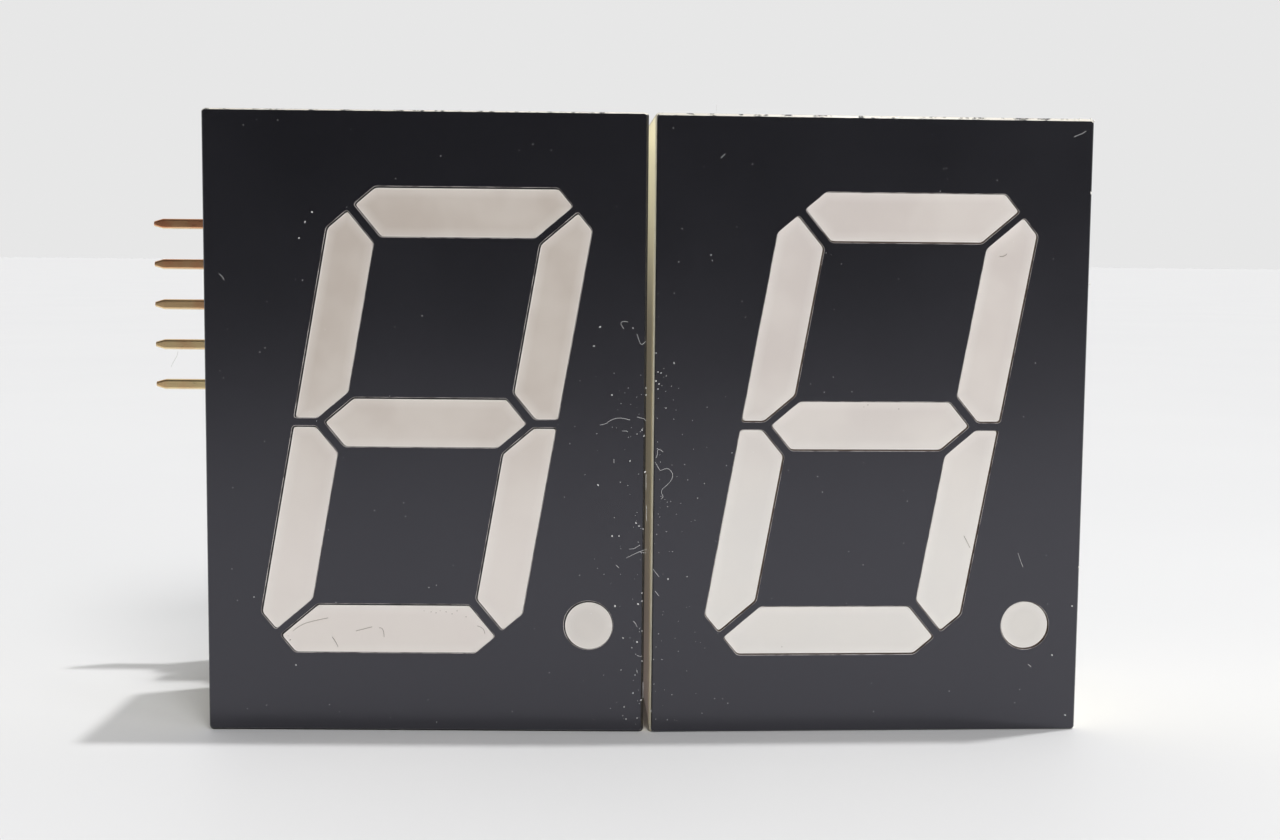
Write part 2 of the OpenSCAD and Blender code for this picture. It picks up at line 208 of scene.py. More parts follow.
floor_mesh = bpy.data.meshes.new("table")
bm = bmesh.new()
bmesh.ops.create_grid(bm, x_segments=1, y_segments=1, size=TABLE_FAR)
bmesh.ops.translate(bm, verts=bm.verts, vec=(0, TABLE_FAR - TABLE_NEAR, 0))
bm.to_mesh(floor_mesh)
bm.free()
table = bpy.data.objects.new("table", floor_mesh)
scene.collection.objects.link(table)


def pale_table(place):
    """A pale, slightly clouded table top."""
    cloud = place.noise(60 * MM, 3)
    return {"Base Color": cloud.mix(paint(219, 219, 220), paint(224, 224, 224)), "Roughness": 0.6}


floor_mesh.materials.append(finish("pale_table", pale_table))
print("table", 2 * TABLE_FAR, "m wide")

# %% [markdown]
# The room is pale behind the module and dim in front of it, which is what makes the faces read as satin
# black. Big panels around the module could do this, but they would show from the other sides. Here the
# world's colour changes with direction, and rays that come straight from the camera always find the pale
# tone, so the background is plain and bright from every side. Two far lamps and one small window give
# soft light at a plain level.

# %% Room and lamps
DIM_ROOM = (0.062, 0.062, 0.066, 1)
PALE_ROOM = (0.80, 0.80, 0.80, 1)
WINDOW_PLACE = (0.24, -0.17, 0.07)
WINDOW_SIZE = 0.12
WINDOW_POWER = 0.3

world = bpy.data.worlds.new("room")
scene.world = world
world.use_nodes = True
room = world.node_tree.nodes["Background"]
direction = Wire(world.node_tree).node("ShaderNodeTexCoord", output="Generated")
behind = direction.part("Y").step(-0.15, 0.45)
room_tone = behind.mix(DIM_ROOM, PALE_ROOM)
in_view = direction.node("ShaderNodeLightPath", output="Is Camera Ray")
room_tone = in_view.mix(room_tone, PALE_ROOM)
world.node_tree.links.new(room_tone.socket, room.inputs["Color"])


def sun(name, towards, strength, spread):
    """A lamp far away in a direction from the module. Spread is how wide it looks, in degrees."""
    lamp = bpy.data.lights.new(name, "SUN")
    lamp.energy = strength
    lamp.angle = radians(spread)
    made = bpy.data.objects.new(name, lamp)
    scene.collection.objects.link(made)
    made.rotation_euler = (-Vector(towards)).to_track_quat("-Z", "Y").to_euler()


sun("key", towards=(0.19, 0.085, 1.0), strength=1.55, spread=2)
sun("fill", towards=(0.25, -0.62, 0.75), strength=1.35, spread=24)

window_light = bpy.data.lights.new("window", "AREA")
window_light.energy = WINDOW_POWER
window_light.size = WINDOW_SIZE
window = bpy.data.objects.new("window", window_light)
scene.collection.objects.link(window)
window.location = WINDOW_PLACE
window.rotation_euler = (-window.location).to_track_quat("-Z", "Y").to_euler()
print("lamps:", [lamp.name for lamp in bpy.data.lights])

# %% [markdown]
# CAD edges are perfectly sharp, and nothing real is. A copy of a CAD piece is merged, its flat triangles
# are joined into single faces, and chosen edges are bevelled. The outer edges of a moulding are found
# without any numbers: both faces beside such an edge have the whole piece behind them.

# %% Tools for softened copies
FLAT = radians(0.5)
SHARP = radians(25)
MERGE = 0.0004 * MM
PROUD = 0.002 * MM


def merged_copy(node):
    """A bmesh of a CAD node with its loose triangles joined."""
    bm = bmesh.new()
    bm.from_mesh(nodes[node].data)
    bmesh.ops.remove_doubles(bm, verts=bm.verts, dist=MERGE)
    bmesh.ops.dissolve_limit(bm, angle_limit=FLAT, verts=bm.verts, edges=bm.edges)
    bm.normal_update()
    return bm


def sharp_edges(bm):
    """The edges at which two faces meet at a clear angle."""
    return [e for e in bm.edges if len(e.link_faces) == 2 and e.calc_face_angle() > SHARP]


def outer_faces(bm):
    """The faces that have the whole piece behind them."""
    corners = [v.co for v in bm.verts]
    found = set()
    for face in bm.faces:
        start = face.verts[0].co
        if all((corner - start).dot(face.normal) < PROUD for corner in corners):
            found.add(face)
    return found


def outer_edges(bm):
    """The sharp edges between two outer faces."""
    outside = outer_faces(bm)
    return [e for e in sharp_edges(bm) if all(f in outside for f in e.link_faces)]


def soften(bm, edges, width, segments=2):
    """Bevels the edges and returns the new faces."""
    made = bmesh.ops.bevel(
        bm, geom=edges, offset=width, offset_type="OFFSET", segments=segments, profile=0.5,
        affect="EDGES", material=-1, clamp_overlap=True,
    )
    bm.normal_update()
    for face in made["faces"]:
        face.smooth = True
    return made["faces"]


# %% [markdown]
# A front with many windows is one flat area with holes, and a bevel along the rim of a hole can tear it.
# A Boolean could cut the chamfers, but it leaves slivers. So the flat areas are taken away first, which
# leaves open walls. The open rims get a slanting face each, and then the flat areas between the new rims
# are filled again.

# %% Tools for fronts with windows
NEAR = 0.004 * MM
ACROSS = 0.9999
FRONT = Vector((0, -1, 0))


def walls_only(bm, out):
    """Takes away the flat faces that lie across this direction, so that the piece is open there."""
    flats = [f for f in bm.faces if abs(f.normal.dot(out)) > ACROSS]
    bmesh.ops.delete(bm, geom=flats, context="FACES")


def open_rim(bm, spot, out):
    """The open edges that lie in the plane through a spot, across this direction."""
    rims = [e for e in bm.edges if e.is_boundary]
    return [e for e in rims if all(abs((v.co - spot).dot(out)) < NEAR for v in e.verts)]


def chamfered(bm, edges, out, width):
    """Adds a slanting face along open edges: the walls are let down and the new edges lie inwards."""
    made = bmesh.ops.extrude_edge_only(bm, edges=edges)["geom"]
    faces = {g for g in made if isinstance(g, bmesh.types.BMFace)}
    fresh = {g for g in made if isinstance(g, bmesh.types.BMVert)}
    for v in fresh:
        old = next(e.other_vert(v) for e in v.link_edges if e.other_vert(v) not in fresh)
        walls = [f.normal for f in old.link_faces if f not in faces]
        v.co -= (walls[0] + walls[-1]) * width / (1 + walls[0].dot(walls[-1]))
        old.co -= out * width
    for face in faces:
        face.smooth = True
    return faces


def capped(bm, out):
    """Closes the open rims, level by level, with flat triangles that keep their holes open.

    The fill is done in millimetres and square to the axes, which suits its tolerances.
    """
    turn = out.rotation_difference(FRONT).to_matrix()
    bmesh.ops.rotate(bm, cent=(0, 0, 0), matrix=turn, verts=bm.verts)
    bmesh.ops.scale(bm, vec=Vector.Fill(3, 1 / MM), verts=bm.verts)
    rims = sorted((e for e in bm.edges if e.is_boundary), key=lambda e: e.verts[0].co.y)
    while rims:
        level = rims[0].verts[0].co.y
        flat = [e for e in rims if e.verts[0].co.y - level < NEAR / MM]
        rims = rims[len(flat):]
        made = bmesh.ops.triangle_fill(bm, use_beauty=True, edges=flat, normal=FRONT)["geom"]
        for face in made:
            if isinstance(face, bmesh.types.BMFace):
                face.smooth = False
    bmesh.ops.recalc_face_normals(bm, faces=bm.faces)
    bmesh.ops.scale(bm, vec=Vector.Fill(3, MM), verts=bm.verts)
    bmesh.ops.rotate(bm, cent=(0, 0, 0), matrix=turn.transposed(), verts=bm.verts)
    bm.normal_update()


# %% [markdown]
# Every finished mesh becomes a piece of the module in the same way: it gets its materials, rides on the
# module's one body, and hides the CAD nodes that it stands for. One function does
# this for all of them.

# %% Adding a piece
SIDES = ("left", "right")


def add_piece(name, bm, materials, slot, *replaced):
    """Makes the bmesh a piece of the module that stands for the CAD nodes it replaces."""
    mesh = bpy.data.meshes.new(name)
    bm.to_mesh(mesh)
    bm.free()
    for material in materials:
        mesh.materials.append(material)
    piece = bpy.data.objects.new(name, mesh)
    scene.collection.objects.link(piece)
    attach(piece, "root")
    if replaced:
        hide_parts(*replaced)
    print(name, len(mesh.polygons), "faces")


# %% [markdown]
# The housing is a cream moulding with a light cell behind each segment. Moulded plastic is matt, a little
# uneven in colour and slightly yellowed. The two walls that face each other across the gap get painted
# light: a weak emission, brightest at the top, that stands in for daylight passing through the thin
# plastic, because tracing light scattered inside the plastic is slow and noisy in so narrow a gap. The
# dark face layer wraps over the front edge and is worn along the top, where its pale patches are also
# painted glints of the light from above.

# %% Finishes of the housings
FACE_H = cad_box[1].z
# Emission colours of the painted glow in the gap walls, from the foot to the top.
FOOT_GLOW = (0.042, 0.037, 0.043, 1)
MIDDLE_GLOW = (0.043, 0.041, 0.040, 1)
TOP_GLOW = (0.250, 0.252, 0.225, 1)


def cream_plastic(place):
    """Cream moulded plastic, clouded, with fine grain and a trace of grime."""
    cloud = place.noise(4 * MM, 3)
    grain = place.noise(0.12 * MM, 2)
    grime = place.noise(0.35 * MM, 4).step(0.6, 0.8)
    tint = cloud.step(0.3, 0.7).mix(paint(214, 207, 179), paint(219, 212, 186))
    return {
        "Base Color": (grime * 0.2).mix(tint, paint(150, 138, 108)),
        "Roughness": 0.5 + 0.12 * grain,
        "Normal": grain.bump(0.006 * MM, 0.5),
    }


def painted_glow_wall(place):
    """The cream plastic with painted light: an emission, dim below and brighter towards the top."""
    height = place.part("Z")
    low = height.step(0.10 * FACE_H, 0.40 * FACE_H)
    high = height.step(0.62 * FACE_H, 1.05 * FACE_H)
    dim = low.mix(FOOT_GLOW, MIDDLE_GLOW)
    made = cream_plastic(place)
    made["Emission Color"] = high.mix(dim, TOP_GLOW)
    made["Emission Strength"] = 1.0
    return made


def face_ink(place):
    """The dark face layer where it wraps over an edge."""
    grain = place.noise(0.15 * MM, 3)
    return {"Base Color": grain.mix(paint(22, 22, 24), paint(34, 34, 36)), "Roughness": 0.4}


def worn_ink_and_glint(place):
    """The same layer, pale in patches: partly rubbed through, partly painted glints of the light from above.
    """
    wear = place.noise(0.5 * MM, 5, 0.7).step(0.38, 0.5)
    return {"Base Color": wear.mix(paint(30, 30, 32), paint(226, 221, 208)), "Roughness": 0.5 - 0.15 * wear}


def painted_halo_rim(place):
    """The front of the right moulding under its film, brownish instead of black: a painted halo of light."""
    grain = place.noise(0.2 * MM, 3)
    return {"Base Color": grain.mix(paint(84, 68, 56), paint(120, 100, 82)), "Roughness": 0.5}


def painted_highlight_edge(place):
    """A bare cream edge, paler than the body: a painted highlight."""
    wear = place.noise(0.6 * MM, 3)
    return {"Base Color": wear.mix(paint(226, 218, 192), paint(246, 242, 228)), "Roughness": 0.35}


cream = finish("cream_plastic", cream_plastic)
cream_lit = finish("cream_plastic_painted_glow", painted_glow_wall)
ink = finish("face_ink", face_ink)
ink_worn_and_glint = finish("worn_face_ink_and_glint", worn_ink_and_glint)
brown = finish("painted_halo_rim", painted_halo_rim)
cream_painted_highlight = finish("cream_edge_painted_highlight", painted_highlight_edge)
housing_finishes = [cream, cream_lit, ink, ink_worn_and_glint, brown, cream_painted_highlight]
print("housing finishes:", [material.name for material in housing_finishes])

# %% [markdown]
# Only the outer edges of a housing are softened, because the resin hides its cells. Which finish a face
# gets is told from the way it faces: towards the other display, forwards, or up. The list starts with the
# plain cream, which is what every other face keeps.

# %% Housings
HOUSING_EDGE = 0.08 * MM
HOUSING_CORNER = 0.2 * MM
ALONG = 0.97
INWARDS = 0.98
FORWARDS = 0.999
UPWARDS = 0.5
SLANTED = 0.3
GLOWING, INK, WORN_AND_GLINT, BROWN, PALE = range(1, 6)


def front_of(node):
    """A point on the front of a display's film or moulding, and the direction that front faces."""
    mesh = nodes[node].data
    front = max((p for p in mesh.polygons if p.normal.dot(FRONT) > 0.9), key=lambda p: p.area)
    return mesh.vertices[front.vertices[0]].co.copy(), front.normal.copy()


def depth_edges(edges, out):
    """Those of the edges that run from front to back."""
    return [e for e in edges if abs((e.verts[0].co - e.verts[1].co).normalized().dot(out)) > ALONG]


for side, inner in (("left", 1), ("right", -1)):
    node = f"{side}_housing"
    spot, out = front_of(node)
    bm = merged_copy(node)
    walls_only(bm, out)
    soften(bm, depth_edges(outer_edges(bm), out), HOUSING_CORNER, 3)
    outside = outer_faces(bm)
    rear = min((v.co for v in bm.verts), key=lambda place: place.dot(out)).copy()
    front_rim = [e for e in open_rim(bm, spot, out) if e.link_faces[0] in outside]
    rear_rim = [e for e in open_rim(bm, rear, out) if e.link_faces[0] in outside]
    front_edge = chamfered(bm, front_rim, out, HOUSING_EDGE)
    chamfered(bm, rear_rim, -out, HOUSING_EDGE)
    capped(bm, out)
    for face in bm.faces:
        if face.normal.x * inner > INWARDS:
            face.material_index = GLOWING
        if face.normal.dot(out) > FORWARDS and abs((face.verts[0].co - spot).dot(out)) < NEAR:
            # The front under the film is black ink on the left; on the right it is brownish, a painted halo
            # of light around the segments.
            face.material_index = INK if side == "left" else BROWN
    for face in front_edge:
        face.material_index = INK
        # Upward faces of the front edge get worn ink whose pale patches are partly painted glints.
        if face.normal.z > UPWARDS:
            face.material_index = WORN_AND_GLINT
        # The right moulding's front edge that faces the gap is paler: a painted highlight.
        if side == "right" and face.normal.x < -SLANTED:
            face.material_index = PALE
    add_piece(f"{side}_moulding", bm, housing_finishes, "housing_plastic", node)

# %% [markdown]
# The face is a thin black film with a window for each segment. It is satin, not dead black: its
# reflection of the table is half of what one sees. The cut edges of the windows are paler than the front,
# and along the top the black is worn off in places, where its pale patches are also painted glints of the
# light from above. Both could be painted with masks, but the slanting edge faces are there already, so
# they get materials of their own.

# %% Face films
FILM_EDGE = 0.06 * MM
FILM_CORNER = 0.18 * MM
WINDOW_EDGE = 0.022 * MM
WINDOW_CORNER = 0.14 * MM


def black_film(place):
    """Satin black film with a faint haze in its gloss."""
    haze = place.noise(7 * MM, 4)
    grain = place.noise(0.06 * MM, 2)
    return {
        "Base Color": haze.mix(paint(16, 16, 19), paint(20, 20, 23)),
        "Roughness": 0.20 + 0.07 * haze + 0.03 * grain,
        "Normal": grain.bump(0.0012 * MM, 0.4),
        "Specular IOR Level": 0.95,
        "Specular Tint": (0.89, 0.88, 1.0, 1),
    }


def cut_edge(place):
    """The pale edge of a window that was cut into the film."""
    wear = place.noise(0.8 * MM, 3).step(0.35, 0.6)
    return {"Base Color": wear.mix(paint(120, 112, 110), paint(214, 206, 202)), "Roughness": 0.5}


film_black = finish("black_film", black_film)
film_cut = finish("cut_film_edge", cut_edge)
BLACK, WORN_AND_GLINT_EDGE, CUT_EDGE = range(3)

for side in SIDES:
    node = f"{side}_face_film"
    spot, out = front_of(node)
    bm = merged_copy(node)
    walls_only(bm, out)
    soften(bm, depth_edges(outer_edges(bm), out), FILM_CORNER, 3)
    outside = set(outer_edges(bm))
    soften(bm, [e for e in depth_edges(sharp_edges(bm), out) if e not in outside], WINDOW_CORNER, 3)
    outside = outer_faces(bm)
    rim = open_rim(bm, spot, out)
    outer_rim = [e for e in rim if e.link_faces[0] in outside]
    window_rims = [e for e in rim if e.link_faces[0] not in outside]
    film_edge = chamfered(bm, outer_rim, out, FILM_EDGE)
    window_edges = chamfered(bm, window_rims, out, WINDOW_EDGE)
    capped(bm, out)
    for face in film_edge:
        # The upward edge of the film gets the same worn ink, partly painted glints of the light from above.
        face.material_index = WORN_AND_GLINT_EDGE if face.normal.z > UPWARDS else BLACK
    for face in window_edges:
        face.material_index = CUT_EDGE
    add_piece(f"{side}_black_face", bm, [film_black, ink_worn_and_glint, film_cut], "face_film", node)

# %% [markdown]
# The segments are cast resin, flush with the film. Their surface rises a little at the rim, where the
# resin crept up while it set, and it is slightly cloudy. A float attribute is 1 on the outline and falls
# to 0 inside, so the material can paint a highlight along the rim without knowing where each segment is.
# Painted shade makes the upper segments a little darker, and the left digit a little darker than the
# right, though both are the same resin.

# %% Segments and decimal points
CORNER = 0.14 * MM
RIM = 0.09 * MM
FADE = 0.45 * MM
SINK = 0.008 * MM


def cast_resin(top, foot):
    """Resin with painted shade, darker at the top of the digit than at its foot, and a painted highlight on
    the rim.
    """

    def make(place):
        rim = place.node("ShaderNodeAttribute", {"attribute_name": "rim"}, output="Fac")
        cloud = place.noise(3.2 * MM, 2).step(0.3, 0.7)
        height = place.part("Z").step(0.25 * FACE_H, 0.65 * FACE_H)
        tint = height.mix(paint(*foot), paint(*top))
        pale = (cloud * 0.25).mix(tint, paint(236, 230, 222))
        grain = place.noise(0.1 * MM, 2)
        return {
            # The rim attribute paints a highlight along each outline.
            "Base Color": (rim * 0.6).mix(pale, paint(244, 240, 234)),
            "Roughness": 0.34 + 0.1 * cloud,
            "Normal": grain.bump(0.001 * MM, 0.3),
        }

    return make


# The left digit's resin is painted darker than the right's: painted shade on the same resin.
RESIN = {
    "left": finish("left_cast_resin", cast_resin((197, 186, 176), (227, 219, 213))),
    "right": finish("right_cast_resin", cast_resin((212, 203, 197), (227, 223, 218))),
}
POINT_RESIN = {
    "left": finish("left_point_resin", cast_resin((214, 208, 202), (214, 208, 202))),
    "right": finish("right_point_resin", cast_resin((213, 209, 204), (213, 209, 204))),
}
cells = [f"segment_{letter}" for letter in "abcdefg"] + ["decimal_point"]
for side in SIDES:
    spot, out = front_of(f"{side}_face_film")
    for cell in cells:
        node = f"{side}_{cell}"
        bm = merged_copy(node)
        rim_layer = bm.verts.layers.float.new("rim")
        front_face = min(bm.faces, key=lambda f: f.normal.y)
        for v in front_face.verts:
            v[rim_layer] = 1.0
        for width, value in ((RIM, 0.4), (FADE, 0.0)):
            bmesh.ops.inset_region(bm, faces=[front_face], thickness=width, use_even_offset=True)
            for v in front_face.verts:
                v[rim_layer] = value
                v.co -= out * SINK
        resin = POINT_RESIN[side]
        if cell != "decimal_point":
            resin = RESIN[side]
            soften(bm, depth_edges(outer_edges(bm), out), CORNER, 3)
        add_piece(f"{node}_resin", bm, [resin], "segment_resin", node)

# %% [markdown]
# The five header pins are square gold-plated wire, bent once behind the board. Rolled wire has rounded
# corners, and its cut end stays blunt, so the end gets a finer bevel than the sides. Thin gold over
# nickel is a little rough; here it is redder in patches and towards the top. Faces that look down get a
# paler gold, a painted highlight of the bright table below.

# %% Header pins
PIN_EDGE = 0.13 * MM
PIN_END_EDGE = 0.04 * MM
DOWNWARDS = 0.35
REDDENED_GOLD, PAINTED_HIGHLIGHT = range(2)


def gold_plate(place):
    """Thin gold over nickel, drawn along the wire, redder in patches and towards the top."""
    brushed = place.stretched(0.1, 1, 1).noise(0.08 * MM, 3)
    height = place.part("Z").step(0.52 * FACE_H, 0.86 * FACE_H)
    reddening = 0.35 * place.noise(1.3 * MM, 3).step(0.4, 0.7) + 0.65 * height
    return {
        "Base Color": reddening.mix(paint(234, 211, 160), paint(222, 152, 112)),
        "Metallic": 1.0,
        "Roughness": 0.24 + 0.12 * brushed,
        "Normal": brushed.bump(0.002 * MM, 0.4),
    }


def painted_highlight_gold(place):
    """The same plating, paler: a painted highlight of the bright table below."""
    brushed = place.stretched(0.1, 1, 1).noise(0.08 * MM, 3)
    return {
        "Base Color": brushed.mix(paint(238, 222, 184), paint(250, 238, 206)),
        "Metallic": 1.0,
        "Roughness": 0.2 + 0.1 * brushed,
    }


gold = finish("gold_plate", gold_plate)
gold_painted_highlight = finish("gold_plate_painted_highlight", painted_highlight_gold)
for number in range(1, 6):
    node = f"header_pin_{number}"
    bm = merged_copy(node)
    free_end = min(v.co.x for v in bm.verts) + NEAR
    soften(bm, [e for e in sharp_edges(bm) if max(v.co.x for v in e.verts) > free_end], PIN_EDGE, 3)
    soften(bm, [e for e in sharp_edges(bm) if max(v.co.x for v in e.verts) < free_end], PIN_END_EDGE, 2)
    for face in bm.faces:
        # Faces that look down get the paler gold as a painted highlight.
        face.material_index = PAINTED_HIGHLIGHT if face.normal.z < -DOWNWARDS else REDDENED_GOLD
    add_piece(f"{node}_wire", bm, [gold, gold_painted_highlight], "gold_plate", node)

# %% [markdown]
# Behind the digits sit the carrier board and its parts: black mouldings, tinned metal, poured resin,
# solder mask, ceramic and laminate. Each finish is one noise pattern at the scale of the real grain,
# which is all that shows.

# %% Finishes behind the digits


def black_moulding(place):
    """Black moulded plastic with a fine matt grain."""
    grain = place.noise(0.1 * MM, 3)
    return {
        "Base Color": grain.mix(paint(30, 30, 31), paint(44, 44, 45)),
        "Roughness": 0.5 + 0.15 * grain,
        "Normal": grain.bump(0.004 * MM, 0.6),
    }


def tinned(place):
    """Tin or solder, mottled and satin."""
    mottle = place.noise(0.4 * MM, 3)
    return {
        "Base Color": mottle.mix(paint(176, 176, 178), paint(214, 214, 214)),
        "Metallic": 1.0,
        "Roughness": 0.26 + 0.2 * mottle,
        "Normal": mottle.bump(0.004 * MM, 0.4),
    }


def potting(place):
    """Milky poured resin."""
    cloud = place.noise(2.4 * MM, 3)
    return {
        "Base Color": cloud.mix(paint(202, 194, 160), paint(216, 210, 182)),
        "Roughness": 0.22 + 0.1 * cloud,
        "Normal": cloud.bump(0.05 * MM, 0.4),
    }


def green_mask(place):
    """Green solder mask over the weave of the laminate."""
    weave = place.noise(0.5 * MM, 2)
    return {
        "Base Color": weave.mix(paint(18, 82, 48), paint(22, 92, 54)),
        "Roughness": 0.3 + 0.1 * weave,
        "Coat Weight": 0.4,
    }


def tan_ceramic(place):
    """Tan ceramic of a capacitor."""
    grain = place.noise(0.1 * MM, 2)
    return {"Base Color": grain.mix(paint(176, 146, 108), paint(190, 160, 122)), "Roughness": 0.45}


def laminate(place):
    """Glass and resin laminate, layered along its thickness."""
    grain = place.stretched(1, 1, 6).noise(0.2 * MM, 2)
    return {"Base Color": grain.mix(paint(186, 170, 112), paint(202, 188, 134)), "Roughness": 0.6}


def chip_gold(place):
    """The metal top of a light chip."""
    grain = place.noise(0.1 * MM, 2)
    return {
        "Base Color": grain.mix(paint(200, 160, 70), paint(230, 190, 100)),
        "Metallic": 1.0,
        "Roughness": 0.3,
    }


moulding = finish("black_moulding", black_moulding)
tin = finish("tinned_metal", tinned)
potted = finish("potting_resin", potting)
mask = finish("green_mask", green_mask)
ceramic = finish("tan_ceramic", tan_ceramic)
core = finish("laminate", laminate)
chip = finish("chip_gold", chip_gold)
print("finishes so far:", len(bpy.data.materials))

# %% [markdown]
# Most of these parts are small blocks. A plain block with softened edges catches the light as the real
# part does, so each is a bevelled copy of its CAD solid, and only the width of the bevel differs. The
# boards and chips inside the displays are hidden, so they keep their CAD shape and get a finish.

# %% Plain pieces behind the digits
SLIVER = 0.0005 * MM
PLAIN = {
    "header_strip": (moulding, "header_plastic", 0.06),
    "resistor_bodies": (moulding, "resistor_ceramic", 0.03),
    "resistor_ends": (tin, "tinned_metal", 0.04),
    "capacitor_bodies": (ceramic, "capacitor_ceramic", 0.03),
    "capacitor_ends": (tin, "tinned_metal", 0.05),
}
for side in SIDES:
    PLAIN[f"{side}_driver_body"] = (moulding, "driver_plastic", 0.05)
    PLAIN[f"{side}_driver_leads"] = (tin, "tinned_metal", 0.03)
    PLAIN[f"{side}_pins"] = (tin, "tinned_metal", 0.04)
for node, (material, slot, width) in PLAIN.items():
    bm = merged_copy(node)
    soften(bm, sharp_edges(bm), width * MM, 2)
    bmesh.ops.dissolve_degenerate(bm, dist=SLIVER, edges=bm.edges)
    add_piece(f"{node}_finished", bm, [material], slot, node)

for side in SIDES:
    for node, material in ((f"{side}_chip_board", core), (f"{side}_led_chips", chip)):
        nodes[node].data.materials.clear()
        nodes[node].data.materials.append(material)

# %% [markdown]
# The back of each display is closed with poured resin. Liquid resin creeps up walls and pins before it
# sets. A sculpted surface could show that, but an inset does it in one step: the outline of the surface
# stays where it is, and the surface inside that outline is let down a little.

# %% Back resin
CREEP = 0.45 * MM
DIP = 0.16 * MM

for side in SIDES:
    node = f"{side}_back_resin"
    back = -front_of(f"{side}_face_film")[1]
    bm = merged_copy(node)
    walls_only(bm, back)
    capped(bm, back)
    far = max(v.co.dot(back) for v in bm.verts)
    surface = [f for f in bm.faces if all(far - v.co.dot(back) < NEAR for v in f.verts)]
    slope = bmesh.ops.inset_region(bm, faces=surface, thickness=CREEP, use_even_offset=True)["faces"]
    for v in {v for face in surface for v in face.verts}:
        v.co -= back * DIP
    for face in slope:
        face.smooth = True
    add_piece(f"{node}_finished", bm, [potted], "back_resin", node)

# %% [markdown]
# The carrier board is glass and resin laminate under a green mask. Its faces are green, its sawn edges
# show the bare laminate and the walls of its holes are plated. The three finishes are told apart by where
# a face lies. The list starts with the mask, which every face keeps that is neither an edge nor the wall
# of a hole.

# %% Carrier board
BACK = Vector((0, 1, 0))
SIDEWAYS = 0.5
CORE, PLATED = range(1, 3)


def box_of(node):
    """The lowest and highest corner of a CAD node."""
    return [Vector(corner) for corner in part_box(node)]


board_low, board_high = box_of("carrier_board")
bm = merged_copy("carrier_board")
walls_only(bm, BACK)
capped(bm, BACK)
for face in bm.faces:
    spot = face.calc_center_median()
    edge = min(spot.x - board_low.x, board_high.x - spot.x, spot.z - board_low.z, board_high.z - spot.z)
    if abs(face.normal.y) < SIDEWAYS:
        face.material_index = CORE if edge < NEAR else PLATED
add_piece("carrier_board_finished", bm, [mask, core, tin], "board", "carrier_board")

# %% [markdown]
# A solder joint wets the pad and the pin, so its side is hollow like a trumpet. A cone would look stiff,
# so a curved outline is spun around the pin. Each joint's place and size come from the CAD solid that it
# replaces.

# %% Solder joints
TIP = 0.4 * MM
BARREL = 0.47 * MM
PAD = 1.05 * MM
PAD_T = 0.02 * MM
ROUND = 20
HOLLOW = 2.2
HOLLOW_STEPS = 6
SEAM = 0.001 * MM


def solids_in(node):
    """The lowest and highest corner of every loose solid in a node, from left to right."""
    bm = merged_copy(node)
    waiting = set(bm.verts)
    boxes = []
    while waiting:
        island = [waiting.pop()]
        for v in island:
            fresh = {e.other_vert(v) for e in v.link_edges} & waiting
            waiting -= fresh
            island.extend(fresh)
        spans = [[f(v.co[axis] for v in island) for axis in range(3)] for f in (min, max)]
        boxes.append((Vector(spans[0]), Vector(spans[1])))
    bm.free()
    return sorted(boxes, key=lambda box: (round(box[0].x / NEAR), box[0].z))


def turned(bm, centre, outline, closed=False):
    """Spins an outline of radius and depth pairs around an axis along Y."""
    verts = [bm.verts.new(centre + Vector((radius, depth, 0))) for radius, depth in outline]
    edges = [bm.edges.new(pair) for pair in zip(verts, verts[1:])]
    if closed:
        edges.append(bm.edges.new((verts[-1], verts[0])))
    bmesh.ops.spin(
        bm, geom=verts + edges, cent=centre, axis=BACK, dvec=(0, 0, 0),
        angle=2 * pi, steps=ROUND, use_merge=True,
    )


def closed_up(bm):
    """Merges the open seams of made shapes and turns all faces outwards."""
    bmesh.ops.remove_doubles(bm, verts=bm.verts, dist=SEAM)
    bmesh.ops.recalc_face_normals(bm, faces=bm.faces)


pads = bmesh.new()
for node, way in (("left_pin_solder", 1), ("right_pin_solder", 1), ("header_solder", -1)):
    joints = bmesh.new()
    near_y, far_y = (board_high.y, board_low.y) if way > 0 else (board_low.y, board_high.y)
    for low, high in solids_in(node):
        middle = (low + high) / 2
        base = (high.x - low.x) / 2
        rise = (high.y - near_y) if way > 0 else (near_y - low.y)
        steps = [i / HOLLOW_STEPS for i in range(HOLLOW_STEPS + 1)]
        trumpet = [(TIP + (base - TIP) * (1 - t) ** HOLLOW, way * rise * t) for t in reversed(steps)]
        depth = far_y - near_y
        outline = [(0, way * rise), *trumpet, (BARREL, 0), (BARREL, depth), (0, depth)]
        turned(joints, Vector((middle.x, near_y, middle.z)), outline)
        for y, out_y in ((board_low.y, -1), (board_high.y, 1)):
            ring = [(BARREL, 0), (PAD, 0), (PAD, out_y * PAD_T), (BARREL, out_y * PAD_T)]
            turned(pads, Vector((middle.x, y, middle.z)), ring, closed=True)
    closed_up(joints)
    for face in joints.faces:
        face.smooth = True
    add_piece(f"{node}_finished", joints, [tin], "solder", node)

# %% [markdown]
# The small parts stand on flat copper pads that are a little larger than their metal ends, and a wedge of
# solder climbs each end. Pads are low boxes, and a wedge is a box with one edge let down to the pad. At
# this size a hollow curve on the wedge wouldn't show.

# %% Pads and solder wedges
PAD_MARGIN = 0.12 * MM
WEDGE_RUN = 0.3 * MM
WEDGE_RISE = 0.7
PART_LENGTH = 3 * MM
FOOT = 0.6 * MM
FOOT_RISE = 0.2 * MM


def slab(bm, low, high):
    """A box between two corners. Returns its vertices."""
    place = Matrix.Translation((low + high) / 2) @ Matrix.Diagonal((*(high - low), 1))
    return bmesh.ops.create_cube(bm, size=1, matrix=place)["verts"]


